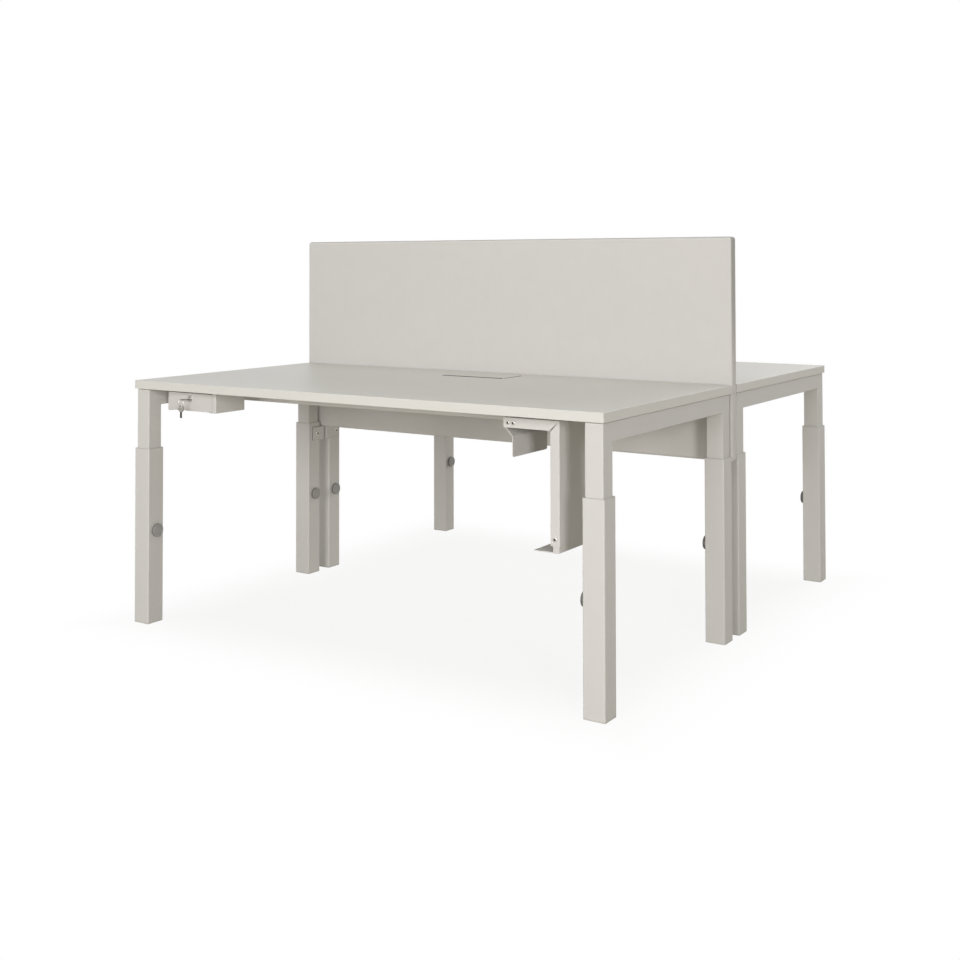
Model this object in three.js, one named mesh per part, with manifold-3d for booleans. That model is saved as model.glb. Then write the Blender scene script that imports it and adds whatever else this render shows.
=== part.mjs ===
// Benching desk for two: two facing desks on telescopic legs, with one screen standing between them.
// Millimetres, +Z up. The origin is on the floor under the middle of the screen.
// The near desk is on the -Y side, and the far desk is the same desk turned half round.
import * as THREE from 'three';
import { mergeVertices } from 'three/addons/utils/BufferGeometryUtils.js';
import Module from 'manifold-3d';

const wasm = await Module();
wasm.setup();

// Clearances
const slideClearance = 0.3;
const fitClearance = 0.3;
const cutOverrun = 1;

// Worktops
const deskWidth = 1600;
const topDepth = 800;
const topThickness = 25;
const topCorner = 2;
const topGap = 44;
const deskHeight = 730;

// Telescopic legs
const lowerTube = 60;
const lowerWall = 2;
const lowerCorner = 4;
const legHeight = 525;
const legEndInset = 0;
const legFrontInset = 2;
const legBackInset = 3;
const footThickness = 4;
const footPlugHeight = 20;
const bushWall = 2.4;
const bushLength = 40;
const bushRim = 2;
const upperWall = 2;
const upperCorner = 3;
const upperTubeEnd = 130;

// Portal beams and long rails
const beamHeight = 50;
const weldStep = 0.5;
const railThickness = 30;
const railHeight = 50;
const railWall = 2;
const railCorner = 2;
const railInset = 277;

// Clamp knobs
const knobHeight = 277.5;
const knobRadius = 20;
const knobThickness = 9;
const knobEdge = 2;
const knobBossRadius = 9;
const knobBossLength = 2.7;
const studRadius = 5;

// Screen and the brackets that link the inner legs and carry it
const screenThickness = 36;
const screenHeight = 652;
const screenEdge = 8;
const screenCorner = 10;
const screenDrop = 17;
const bracketHeight = 44;
const bracketSheet = 3;
const bracketReach = 64;
const bracketJogHalf = 8;
const bracketJogDepth = 12;
const shelfLength = 36;
const shelfHalfWidth = 16;

// Cable flap
const flapCentre = 12;
const flapWidth = 236;
const flapDepth = 122;
const flapBackInset = 54;
const flapWall = 2.5;
const flapLedge = 6;
const lidThickness = 12;
const lidGap = 1;
const cableSlot = 10;

// Lockable drawer under the near worktop
const drawerFrontInset = 44;
const drawerEndInset = 99;
const housingWidth = 198;
const housingDepth = 120;
const housingHeight = 63;
const housingSheet = 1.5;
const housingStile = 15;
const runnerWidth = 12;
const drawerGap = 0.5;
const drawerSheet = 1.2;
const drawerDepth = 112;
const drawerSideHeight = 40;
const lockRise = 38;
const barrelRadius = 8;
const barrelLength = 20;
const barrelFlangeRadius = 10;
const barrelFlange = 1.5;
const plugRadius = 5.7;
const camLength = 18;
const camHalfWidth = 5;
const camThickness = 2;
const keyPlate = 2.4;
const keyShankHalf = 4;
const keyShankLength = 13;
const keyBowRadius = 11;
const keyHoleRadius = 3.5;
const keyHoleOffset = 6;
const keyBladeLength = 20;
const ringRadius = 9;
const ringWire = 0.8;
const ringDrop = 6.2;

// Computer holder under the near worktop
const holderFrontInset = 52;
const holderEndInset = 149;
const holderWidth = 162;
const holderDepth = 178;
const holderHeight = 308;
const holderFlange = 26;
const holderSheet = 2;
const mountThickness = 9.5;
const mountLength = 120;
const mountInset = 20;
const nestGap = 0.5;
const hookTongueLength = 90;
const hookSlantWidth = 22;
const hookSlantHeight = 22;
const hookDrop = 52;
const shelfRise = 150;
const shelfDrop = 18;
const shelfReach = 72;
const shelfFlange = 18;
const shelfFlangeRise = 70;

// Smoothness of round edges
const cornerSteps = 2;
const turnedSteps = 16;
const ringSteps = 16;
const wireSteps = 6;

// Places that several pieces share
const underside = deskHeight - topThickness;
const topBackY = -topGap / 2;
const topFrontY = topBackY - topDepth;
const legX = deskWidth / 2 - legEndInset - lowerTube / 2;
const outerLegY = topFrontY + legFrontInset + lowerTube / 2;
const innerLegY = topBackY - legBackInset - lowerTube / 2;
const lowerBore = lowerTube - 2 * lowerWall;
const bushOuter = lowerBore - 2 * fitClearance;
const bushBore = bushOuter - 2 * bushWall;
const upperTube = bushBore - 2 * slideClearance;
const upperBore = upperTube - 2 * upperWall;
const lowerTubeTop = legHeight - bushRim;
const screenBottom = legHeight - screenDrop;

// Finishes
const powderCoat = { color: 0xc9c6be, roughness: 0.55, metalness: 0 };
const melamine = { color: 0xd6d3cb, roughness: 0.5, metalness: 0 };
const feltCloth = { color: 0xcecac4, roughness: 0.95, metalness: 0 };
const paleNylon = { color: 0xbdbab2, roughness: 0.6, metalness: 0 };
const greyNylon = { color: 0x85837f, roughness: 0.55, metalness: 0 };
const nickel = { color: 0xb4b2ae, roughness: 0.3, metalness: 1 };

// Turns a closed geometry into a solid that can be joined and cut.
function solid(geometry) {
  const bare = geometry.clone();
  bare.deleteAttribute('normal');
  bare.deleteAttribute('uv');
  const merged = mergeVertices(bare);
  const corners = merged.index.array;
  const kept = [];
  for (let i = 0; i < corners.length; i += 3) {
    const [a, b, c] = [corners[i], corners[i + 1], corners[i + 2]];
    if (a !== b && b !== c && c !== a) {
      kept.push(a, b, c);
    }
  }
  return new wasm.Manifold(new wasm.Mesh({
    numProp: 3,
    vertProperties: new Float32Array(merged.attributes.position.array),
    triVerts: new Uint32Array(kept),
  }));
}

function geometryOf(body) {
  const mesh = body.getMesh();
  const geometry = new THREE.BufferGeometry();
  geometry.setAttribute('position', new THREE.BufferAttribute(mesh.vertProperties, 3));
  geometry.setIndex(new THREE.BufferAttribute(mesh.triVerts, 1));
  geometry.computeVertexNormals();
  return geometry;
}

function addPiece(parent, name, body, finish) {
  const mesh = new THREE.Mesh(geometryOf(body), new THREE.MeshStandardMaterial(finish));
  mesh.name = name;
  parent.add(mesh);
  return mesh;
}

function block(x0, x1, y0, y1, z0, z1) {
  const geometry = new THREE.BoxGeometry(x1 - x0, y1 - y0, z1 - z0);
  geometry.translate((x0 + x1) / 2, (y0 + y1) / 2, (z0 + z1) / 2);
  return solid(geometry);
}

function roundedRectangle(width, height, radius) {
  const x = width / 2 - radius;
  const y = height / 2 - radius;
  const shape = new THREE.Shape();
  shape.absarc(x, y, radius, 0, Math.PI / 2);
  shape.absarc(-x, y, radius, Math.PI / 2, Math.PI);
  shape.absarc(-x, -y, radius, Math.PI, 1.5 * Math.PI);
  shape.absarc(x, -y, radius, 1.5 * Math.PI, 2 * Math.PI);
  return shape;
}

function prism(shape, length) {
  return new THREE.ExtrudeGeometry(shape, { depth: length, bevelEnabled: false, curveSegments: cornerSteps });
}

// A rounded bar standing on z0, running along Y from y0, or running along X from x0.
function uprightBar(width, depth, radius, x, y, z0, z1) {
  return solid(prism(roundedRectangle(width, depth, radius), z1 - z0).translate(x, y, z0));
}

function barAlongY(width, height, radius, x, z, y0, y1) {
  const geometry = prism(roundedRectangle(width, height, radius), y1 - y0);
  return solid(geometry.rotateX(-Math.PI / 2).translate(x, y0, z));
}

function barAlongX(depth, height, radius, y, z, x0, x1) {
  const geometry = prism(roundedRectangle(height, depth, radius), x1 - x0);
  return solid(geometry.rotateY(Math.PI / 2).translate(x0, y, z));
}

// A sheet of one thickness that follows a path of corner points, laid on the path's right side.
function sheetShape(path, thickness) {
  const right = [];
  for (let i = 0; i + 1 < path.length; i += 1) {
    const step = path[i + 1].clone().sub(path[i]).normalize();
    right.push(new THREE.Vector2(step.y, -step.x));
  }
  const offset = path.map((point, i) => {
    const before = right[Math.max(i - 1, 0)];
    const after = right[Math.min(i, right.length - 1)];
    const reach = thickness / (1 + before.dot(after));
    return point.clone().addScaledVector(before.clone().add(after), reach);
  });
  return new THREE.Shape([...path, ...offset.reverse()]);
}

// A shape drawn in X and Z, running from y0 to y1.
function profileAlongY(shape, y0, y1) {
  return solid(prism(shape, y1 - y0).rotateX(Math.PI / 2).translate(0, y1, 0));
}

// A turned shape around an axis through the origin, its profile given as radius and distance along Y.
function turned(profile, steps) {
  const points = profile.map(([radius, along]) => new THREE.Vector2(radius, along));
  return new THREE.LatheGeometry(points, steps);
}

function rod(radius, length, steps) {
  return new THREE.CylinderGeometry(radius, radius, length, steps);
}

const desk = new THREE.Group();

// Lower legs with their feet, guide bushes and clamp knobs
function lowerLeg(x, y, side) {
  const outside = uprightBar(lowerTube, lowerTube, lowerCorner, 0, 0, footThickness, lowerTubeTop);
  const bore = uprightBar(
    lowerBore, lowerBore, lowerCorner - lowerWall, 0, 0,
    footThickness - cutOverrun, lowerTubeTop + cutOverrun);
  const studHole = rod(studRadius + slideClearance, lowerTube / 2, turnedSteps).rotateZ(Math.PI / 2);
  studHole.translate(-side * lowerTube / 2, 0, knobHeight);
  return outside.subtract(bore).subtract(solid(studHole)).translate([x, y, 0]);
}

function foot(x, y) {
  const tread = uprightBar(lowerTube, lowerTube, lowerCorner, x, y, 0, footThickness);
  const plug = lowerBore - 2 * fitClearance;
  const plugCorner = lowerCorner - lowerWall;
  const plugStart = footThickness - cutOverrun;
  const plugTop = footThickness + footPlugHeight;
  return tread.add(uprightBar(plug, plug, plugCorner, x, y, plugStart, plugTop));
}

function guideBush(x, y) {
  const rim = uprightBar(lowerTube, lowerTube, lowerCorner, x, y, lowerTubeTop, legHeight);
  const sleeveEnd = legHeight - bushLength;
  const sleeve = uprightBar(bushOuter, bushOuter, lowerCorner - lowerWall, x, y, sleeveEnd, legHeight);
  const bore = uprightBar(
    bushBore, bushBore, upperCorner, x, y, sleeveEnd - cutOverrun, legHeight + cutOverrun);
  return rim.add(sleeve).subtract(bore);
}

function clampKnob(x, y, side) {
  const tip = (upperTube - lowerTube) / 2 + slideClearance;
  const bossEnd = slideClearance + knobBossLength;
  const faceEnd = bossEnd + knobThickness;
  const geometry = turned([
    [0, tip],
    [studRadius, tip],
    [studRadius, slideClearance],
    [knobBossRadius, slideClearance],
    [knobBossRadius, bossEnd],
    [knobRadius, bossEnd],
    [knobRadius, faceEnd - knobEdge],
    [knobRadius - knobEdge, faceEnd],
    [0, faceEnd],
  ], turnedSteps);
  geometry.rotateZ(side * Math.PI / 2);
  return solid(geometry.translate(x - side * lowerTube / 2, y, knobHeight));
}

const sides = [['left', -1], ['right', 1]];
const rows = [
  ['near_outer', outerLegY],
  ['near_inner', innerLegY],
  ['far_inner', -innerLegY],
  ['far_outer', -outerLegY],
];
for (const [sideName, side] of sides) {
  for (const [rowName, y] of rows) {
    const x = side * legX;
    const place = `${rowName}_${sideName}`;
    addPiece(desk, `lower_leg_${place}`, lowerLeg(x, y, side), powderCoat);
    addPiece(desk, `foot_${place}`, foot(x, y), paleNylon);
    addPiece(desk, `guide_bush_${place}`, guideBush(x, y), paleNylon);
    addPiece(desk, `clamp_knob_${place}`, clampKnob(x, y, side), greyNylon);
  }
}

// Screen and link brackets
function screenPanel() {
  const outline = roundedRectangle(
    deskWidth - 2 * screenEdge, screenHeight - 2 * screenEdge, screenCorner - screenEdge);
  const geometry = new THREE.ExtrudeGeometry(outline, {
    depth: screenThickness - 2 * screenEdge,
    bevelThickness: screenEdge,
    bevelSize: screenEdge,
    bevelSegments: cornerSteps,
    curveSegments: cornerSteps,
  });
  geometry.translate(0, 0, screenEdge - screenThickness / 2);
  return solid(geometry.rotateX(Math.PI / 2).translate(0, 0, screenBottom + screenHeight / 2));
}

function linkBracket() {
  const face = lowerTube / 2 - legX;
  const path = [
    [face, -bracketReach],
    [face, -bracketJogHalf],
    [face - bracketJogDepth, -bracketJogHalf],
    [face - bracketJogDepth, bracketJogHalf],
    [face, bracketJogHalf],
    [face, bracketReach],
  ].map(([x, y]) => new THREE.Vector2(x, y));
  const strap = prism(sheetShape(path, bracketSheet), bracketHeight);
  const shelf = block(
    face - bracketJogDepth - shelfLength, face + cutOverrun,
    -shelfHalfWidth, shelfHalfWidth, screenBottom - bracketSheet, screenBottom);
  return solid(strap.translate(0, 0, screenBottom - bracketHeight)).add(shelf);
}

addPiece(desk, 'screen_panel', screenPanel(), feltCloth);
addPiece(desk, 'link_bracket_left', linkBracket(), powderCoat);
const rightBracket = addPiece(desk, 'link_bracket_right', linkBracket(), powderCoat);
rightBracket.rotation.z = Math.PI;

// Pieces of one desk, drawn for the near one
const flapX0 = flapCentre - flapWidth / 2;
const flapX1 = flapCentre + flapWidth / 2;
const flapY1 = topBackY - flapBackInset;
const flapY0 = flapY1 - flapDepth;

function worktop() {
  const board = uprightBar(
    deskWidth, topDepth, topCorner, 0, (topFrontY + topBackY) / 2, underside, deskHeight);
  const opening = block(flapX0, flapX1, flapY0, flapY1, underside - cutOverrun, deskHeight + cutOverrun);
  return board.subtract(opening);
}

function flapFrame() {
  const x0 = flapX0 + fitClearance;
  const x1 = flapX1 - fitClearance;
  const y0 = flapY0 + fitClearance;
  const y1 = flapY1 - fitClearance;
  const through = flapWall + flapLedge;
  const ring = block(x0, x1, y0, y1, underside, deskHeight);
  const recess = block(
    x0 + flapWall, x1 - flapWall, y0 + flapWall, y1 - flapWall,
    deskHeight - lidThickness, deskHeight + cutOverrun);
  const well = block(
    x0 + through, x1 - through, y0 + flapWall, y1 - through,
    underside - cutOverrun, deskHeight + cutOverrun);
  return ring.subtract(recess).subtract(well);
}

function flapLid() {
  const edge = fitClearance + flapWall + lidGap;
  const front = flapY0 + fitClearance + flapWall + cableSlot;
  return block(
    flapX0 + edge, flapX1 - edge, front, flapY1 - edge, deskHeight - lidThickness, deskHeight);
}

// Two upper tubes and the beam welded between them, hollow right through.
function portalBar(x, tube, corner, tubeEnd, top, beamTop, beamBottom) {
  const beamWidth = tube - 2 * weldStep;
  const beamZ = (beamTop + beamBottom) / 2;
  return uprightBar(tube, tube, corner, x, outerLegY, tubeEnd, top)
    .add(uprightBar(tube, tube, corner, x, innerLegY, tubeEnd, top))
    .add(barAlongY(beamWidth, beamTop - beamBottom, corner, x, beamZ, outerLegY, innerLegY));
}

function portal(side) {
  const x = side * legX;
  const beamTop = underside;
  const beamBottom = underside - beamHeight;
  const outside = portalBar(x, upperTube, upperCorner, upperTubeEnd, underside, beamTop, beamBottom);
  const bore = portalBar(
    x, upperBore, upperCorner - upperWall, upperTubeEnd - cutOverrun, underside - upperWall,
    beamTop - upperWall - weldStep, beamBottom + upperWall);
  return outside.subtract(bore);
}

function longRail(y) {
  const end = legX - upperTube / 2;
  const z = underside - railHeight / 2;
  const outside = barAlongX(railThickness, railHeight, railCorner, y, z, -end, end);
  const bore = barAlongX(
    railThickness - 2 * railWall, railHeight - 2 * railWall, railCorner / 2, y, z,
    -end - cutOverrun, end + cutOverrun);
  return outside.subtract(bore);
}

function addDesk(deskName, leftName, rightName) {
  const group = new THREE.Group();
  desk.add(group);
  addPiece(group, `worktop_${deskName}`, worktop(), melamine);
  addPiece(group, `portal_${deskName}_${leftName}`, portal(-1), powderCoat);
  addPiece(group, `portal_${deskName}_${rightName}`, portal(1), powderCoat);
  const frontRailY = topFrontY + railInset + railThickness / 2;
  const backRailY = topBackY - railInset - railThickness / 2;
  addPiece(group, `front_rail_${deskName}`, longRail(frontRailY), powderCoat);
  addPiece(group, `back_rail_${deskName}`, longRail(backRailY), powderCoat);
  addPiece(group, `flap_frame_${deskName}`, flapFrame(), powderCoat);
  addPiece(group, `flap_lid_${deskName}`, flapLid(), melamine);
  return group;
}

const nearDesk = addDesk('near', 'left', 'right');
const farDesk = addDesk('far', 'right', 'left');
farDesk.rotation.z = Math.PI;

// Lockable drawer
const housingX0 = drawerEndInset - deskWidth / 2;
const housingX1 = housingX0 + housingWidth;
const housingY0 = topFrontY + drawerFrontInset;
const housingY1 = housingY0 + housingDepth;
const housingZ0 = underside - housingHeight;
const drawerX0 = housingX0 + housingSheet + drawerGap;
const drawerX1 = housingX1 - housingStile - drawerGap;
const drawerZ0 = housingZ0 + housingSheet + slideClearance;
const drawerZ1 = underside - housingSheet - drawerGap;
const lockX = (drawerX0 + drawerX1) / 2;
const lockZ = housingZ0 + lockRise;
const lockFaceY = housingY0 - barrelFlange;

function drawerHousing() {
  const sheet = housingSheet;
  const shell = block(housingX0, housingX1, housingY0, housingY1, housingZ0, underside);
  const room = block(
    housingX0 + sheet, housingX1 - sheet, housingY0 - cutOverrun, housingY1 - sheet,
    housingZ0 + sheet, underside - sheet);
  const floorCut = block(
    housingX0 + runnerWidth, housingX1 - housingStile - runnerWidth, housingY0 - cutOverrun,
    housingY1 - runnerWidth, housingZ0 - cutOverrun, housingZ0 + sheet + cutOverrun);
  const stile = block(
    housingX1 - housingStile, housingX1, housingY0, housingY0 + sheet, housingZ0, underside);
  return shell.subtract(room).subtract(floorCut).add(stile);
}

function drawerTray() {
  const end = housingY0 + drawerDepth;
  const front = block(drawerX0, drawerX1, housingY0, housingY0 + housingSheet, drawerZ0, drawerZ1);
  const tray = block(drawerX0, drawerX1, housingY0, end, drawerZ0, drawerZ0 + drawerSideHeight);
  const room = block(
    drawerX0 + drawerSheet, drawerX1 - drawerSheet, housingY0 + housingSheet, end - drawerSheet,
    drawerZ0 + drawerSheet, drawerZ0 + drawerSideHeight + cutOverrun);
  const lockHole = rod(barrelRadius + fitClearance, housingSheet + 2 * cutOverrun, turnedSteps);
  lockHole.translate(lockX, housingY0 + housingSheet / 2, lockZ);
  return tray.subtract(room).add(front).subtract(solid(lockHole));
}

function lockBarrel() {
  const bore = plugRadius + slideClearance;
  const geometry = turned([
    [bore, -barrelFlange],
    [barrelFlangeRadius, -barrelFlange],
    [barrelFlangeRadius, 0],
    [barrelRadius, 0],
    [barrelRadius, barrelLength],
    [bore, barrelLength],
    [bore, -barrelFlange],
  ], turnedSteps);
  return solid(geometry.translate(lockX, housingY0, lockZ));
}

function lockPlug() {
  const camY = housingY0 + barrelLength + slideClearance;
  const length = camY + camThickness - lockFaceY;
  const core = rod(plugRadius, length, turnedSteps).translate(lockX, lockFaceY + length / 2, lockZ);
  const cam = block(
    lockX - camHalfWidth, lockX + camLength, camY, camY + camThickness,
    lockZ - camHalfWidth, lockZ + camHalfWidth);
  return solid(core).add(cam);
}

// A key lying flat in X and Y, its shank ending at the origin and its bow on the -Y side.
function flatKey(shankLength) {
  const bowY = -shankLength - keyBowRadius + cutOverrun;
  const bow = rod(keyBowRadius, keyPlate, turnedSteps).rotateX(Math.PI / 2).translate(0, bowY, 0);
  const hole = rod(keyHoleRadius, keyPlate + 2 * cutOverrun, turnedSteps).rotateX(Math.PI / 2);
  hole.translate(0, bowY - keyHoleOffset, 0);
  const shank = block(
    -keyShankHalf, keyShankHalf, -shankLength - cutOverrun, 0, -keyPlate / 2, keyPlate / 2);
  return solid(bow).add(shank).subtract(solid(hole));
}

function bowHoleReach(shankLength) {
  return shankLength + keyBowRadius - cutOverrun + keyHoleOffset;
}

const ringY = lockFaceY - bowHoleReach(keyShankLength) - Math.sqrt(ringRadius ** 2 - ringDrop ** 2);
const ringZ = lockZ - ringDrop;

function keyRing() {
  const geometry = new THREE.TorusGeometry(ringRadius, ringWire, wireSteps, ringSteps);
  return solid(geometry.rotateY(Math.PI / 2).translate(lockX, ringY, ringZ));
}

function spareKey() {
  const hang = keyHoleRadius - ringWire - slideClearance;
  const holeZ = ringZ - ringRadius - hang;
  const hung = flatKey(keyBladeLength).rotate([-90, 0, 0]);
  return hung.translate([lockX, ringY, holeZ - bowHoleReach(keyBladeLength)]);
}

addPiece(nearDesk, 'drawer_housing', drawerHousing(), powderCoat);
addPiece(nearDesk, 'drawer_tray', drawerTray(), powderCoat);
addPiece(nearDesk, 'lock_barrel', lockBarrel(), nickel);
addPiece(nearDesk, 'lock_plug', lockPlug(), nickel);
addPiece(nearDesk, 'key', flatKey(keyShankLength).translate([lockX, lockFaceY, lockZ]), nickel);
addPiece(nearDesk, 'key_ring', keyRing(), nickel);
addPiece(nearDesk, 'spare_key', spareKey(), nickel);

// Computer holder
const holderX1 = deskWidth / 2 - holderEndInset;
const holderX0 = holderX1 - holderWidth;
const holderY0 = topFrontY + holderFrontInset;
const holderY1 = holderY0 + holderDepth;
const holderZ1 = underside - mountThickness;
const holderZ0 = holderZ1 - holderHeight;
const nestY0 = holderY0 + holderSheet + nestGap;
const nestY1 = holderY1 - holderSheet - nestGap;

function holderMount() {
  const middle = (holderX0 + holderX1) / 2;
  return block(
    middle - mountLength / 2, middle + mountLength / 2, holderY0 + mountInset, holderY1 - mountInset,
    holderZ1, underside);
}

function holderFrame() {
  const sheet = holderSheet;
  const flange = holderFlange;
  const corner = block(holderX0, holderX1, holderY0, holderY1, holderZ0, holderZ1);
  const inside = block(
    holderX0 - cutOverrun, holderX1 - flange, holderY0 - cutOverrun, holderY1 + cutOverrun,
    holderZ0 - cutOverrun, holderZ1 - flange);
  const channel = block(
    holderX0 - cutOverrun, holderX1 - sheet, holderY0 + sheet, holderY1 - sheet,
    holderZ0 - cutOverrun, holderZ1 - sheet);
  return corner.subtract(inside).subtract(channel);
}

function holderHook() {
  const top = holderZ1 - holderSheet - nestGap;
  const left = holderX0 + holderSheet + nestGap;
  const slantTop = holderZ1 - holderFlange;
  const path = [
    [left + hookTongueLength, top],
    [left, top],
    [left, slantTop],
    [left + hookSlantWidth, slantTop - hookSlantHeight],
    [left + hookSlantWidth, slantTop - hookSlantHeight - hookDrop],
  ].map(([x, z]) => new THREE.Vector2(x, z)).reverse();
  return profileAlongY(sheetShape(path, holderSheet), nestY0, nestY1);
}

function holderShelf() {
  const sheet = holderSheet;
  const x1 = holderX1 - sheet - nestGap;
  const z0 = holderZ0 - shelfDrop;
  const upright = block(x1 - sheet, x1, nestY0, nestY1, z0, z0 + shelfRise);
  const plate = block(x1 - shelfReach, x1, nestY0, nestY1, z0, z0 + sheet);
  const flange = block(x1 - shelfFlange, x1, nestY0, nestY0 + sheet, z0, z0 + shelfFlangeRise);
  return upright.add(plate).add(flange);
}

addPiece(nearDesk, 'holder_mount', holderMount(), powderCoat);
addPiece(nearDesk, 'holder_frame', holderFrame(), powderCoat);
addPiece(nearDesk, 'holder_hook', holderHook(), powderCoat);
addPiece(nearDesk, 'holder_shelf', holderShelf(), powderCoat);

export default desk;
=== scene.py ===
# Looks of the benching desk for two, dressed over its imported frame. Metres, +Z up, the front towards -Y.
import math

import bmesh
import bpy
from mathutils import Euler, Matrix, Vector


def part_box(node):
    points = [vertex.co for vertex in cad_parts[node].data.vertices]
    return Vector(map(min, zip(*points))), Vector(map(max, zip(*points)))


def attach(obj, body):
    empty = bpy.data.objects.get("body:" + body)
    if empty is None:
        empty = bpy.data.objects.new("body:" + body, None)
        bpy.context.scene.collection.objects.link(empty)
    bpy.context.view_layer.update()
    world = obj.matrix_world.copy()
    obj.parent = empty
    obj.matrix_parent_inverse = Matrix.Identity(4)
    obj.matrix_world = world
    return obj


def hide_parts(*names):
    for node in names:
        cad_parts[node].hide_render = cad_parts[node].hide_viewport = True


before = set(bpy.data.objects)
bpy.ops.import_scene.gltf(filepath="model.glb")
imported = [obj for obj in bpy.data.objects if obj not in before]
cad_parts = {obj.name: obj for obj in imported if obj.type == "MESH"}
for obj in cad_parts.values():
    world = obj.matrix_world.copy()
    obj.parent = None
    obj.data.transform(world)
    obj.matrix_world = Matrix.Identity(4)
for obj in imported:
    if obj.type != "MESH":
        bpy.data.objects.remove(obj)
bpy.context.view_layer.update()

# Legs, feet and guide bushes
LEG_CORNER = 0.004
LEG_WALL = 0.002
TREAD_HEIGHT = 0.004
TREAD_EDGE = 0.0008
PLUG_INSET = 0.0023
RIM_HEIGHT = 0.002
RIM_EDGE = 0.0014
BUSH_WALL = 0.0024

# Clamp knobs
GRIP_FLUTES = 16
GRIP_FLUTE_STEPS = 6
GRIP_FLUTE_DEPTH = 0.0008
GRIP_EDGE = 0.002
GRIP_RIM = 0.005
GRIP_RING = 0.004
GRIP_SUNK = 0.001
GRIP_DEPTH = 0.009
GRIP_AIR = 0.0003
GRIP_BOSS_RADIUS = 0.009
STUD_RADIUS = 0.005

# Screen, with the heights between which the painted shade on its border grows darker towards the top
SCREEN_EDGE = 0.009
SCREEN_EDGE_STEPS = 6
PAINTED_SHADE_BORDER_TURN = 0.75
PAINTED_SHADE_FADE_LOW = 0.70
PAINTED_SHADE_FADE_HIGH = 1.02

# Worktops
BOARD_CORNER = 0.002
BOARD_EDGE = 0.0008

# Cable flaps
LID_EDGE = 0.001
FRAME_WALL = 0.0025
FRAME_CORNER = 0.0008
FRAME_EDGE = 0.0005
FRAME_LEDGE = 0.006
BRUSH_PROUD = 0.0009
BRUSH_BAR = 0.0015
BRUSH_BAR_HEIGHT = 0.006
BRUSH_END = 0.004
BRISTLE_PITCH = 0.0014
BRISTLE_WIDTH = 0.0009
BRISTLE_AIR = 0.001
BRISTLE_ROWS = 3
BRISTLE_UNEVEN = 0.25
# A dark strip in the gap beside the lid, painted shade
GAP_SHADE_WIDTH = 0.0008

# Portals and rails
UPPER_CORNER = 0.003
UPPER_WALL = 0.002
# A thin dark strip under each worktop, painted shade for the seam
SHADE_STRIP_HEIGHT = 0.0016
SHADE_STRIP_INSET = 0.003
SHADE_STRIP_EDGE = 0.0004
RAIL_CORNER = 0.003
RAIL_WALL = 0.002

# Screws
SCREW_RADIUS = 0.0055
SCREW_HEIGHT = 0.0028
SCREW_EDGE = 0.0012
SCREW_SOCKET = 0.0028
SCREW_SOCKET_DEPTH = 0.0015
SCREW_STEPS = 24

# Link brackets, with each screw's place along the left one
STRAP_SHEET = 0.003
STRAP_BEND = 0.0024
STRAP_STEP = 0.012
STRAP_HALF = 0.008
# Dark pads under the strap, that paint a line of shade round its edge
STRAP_SHADE_PAD = 0.0012
STRAP_SHADE_PAD_RIM = 0.001
STRAP_SCREWS = (("near", -0.045), ("far", 0.056))
STRAP_SCREW_SIZE = 1.4
TONGUE_HALF = 0.016

# Computer holder, with the distance of its top screws from the free end
HOLDER_SHEET = 0.002
HOLDER_BEND = 0.0018
HOLDER_FLANGE = 0.026
MITRE_GAP = 0.0022
HOOK_SLANT = 0.022
HOOK_CORNER = 0.007
SHELF_FLANGE = 0.018
SHELF_FLANGE_RISE = 0.070
PLATE_EDGE = 0.0006
TOP_SCREWS = (("left", 0.014), ("right", 0.029))
TOP_SCREW_DROP = 0.0135
POST_SCREW_INSET = 0.013
POST_SCREW_RISE = 0.0165

# Lockable drawer
HOUSING_SHEET = 0.0015
HOUSING_BEND = 0.0026
RUNNER_WIDTH = 0.012
STILE_WIDTH = 0.015
DRAWER_TOP_GAP = 0.006
DRAWER_SEAM = 0.0008
TRAY_HEIGHT = 0.040
TRAY_SHEET = 0.0012

# Lock and keys
LOCK_STEPS = 40
LOCK_EDGE = 0.0005
LOCK_FLANGE = 0.0015
LOCK_NECK = 0.008
LOCK_BORE = 0.006
PLUG_RADIUS = 0.0057
CAM_HALF = 0.005
CAM_SHEET = 0.002
KEY_SHEET = 0.0024
KEY_EDGE = 0.0004
KEY_HALF = 0.0036
KEY_TIP = 0.0018
KEY_BOW = 0.011
KEY_BOW_STEPS = 36
KEY_HOLE = 0.0035
KEY_HOLE_OFFSET = 0.006
KEY_HOLE_STEPS = 20
KEY_CUTS = (0.0011, 0.0018, 0.0007, 0.0015)
KEY_CUT_START = 0.0045
KEY_CUT_PITCH = 0.0033
KEY_CUT_HALF = 0.0013
RING_WIRE = 0.0004
RING_STEPS = 48
RING_WIRE_STEPS = 10

# Rounded edges, and how directions and distances are told apart
BEND_STEPS = 4
EDGE_STEPS = 3
FINE_STEPS = 2
SMOOTH_ANGLE = math.radians(40)
FOLD_ANGLE = math.radians(20)
QUARTER_TURN = math.radians(90)
ALIGNED = 0.99
SIDE_LEAN = 0.5
TINY = 1e-5
MERGE_DISTANCE = 1e-6
X, Y, Z = 0, 1, 2
FRONT = (0, -1, 0)

# Grain of the coats and weave of the cloths
GRAIN_DETAIL = 2
DRIFT_SCALE = 3.0
DRIFT_DETAIL = 3
DRIFT_SHARE = 0.55
THREAD_WOBBLE = 1.2
THREAD_DETAIL = 1
MOTTLE_SCALE = 26
MOTTLE_DETAIL = 4
MOTTLE_SHARE = 0.5
WEAVE_BUMP = 0.25
SHEEN_ROUGHNESS = 0.5
# Lighter tone at the foot of the screen's border: painted light, below the painted shade higher up
PAINTED_BOUNCE_FOOT_TONE = (0.56, 0.543, 0.515, 1)

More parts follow.
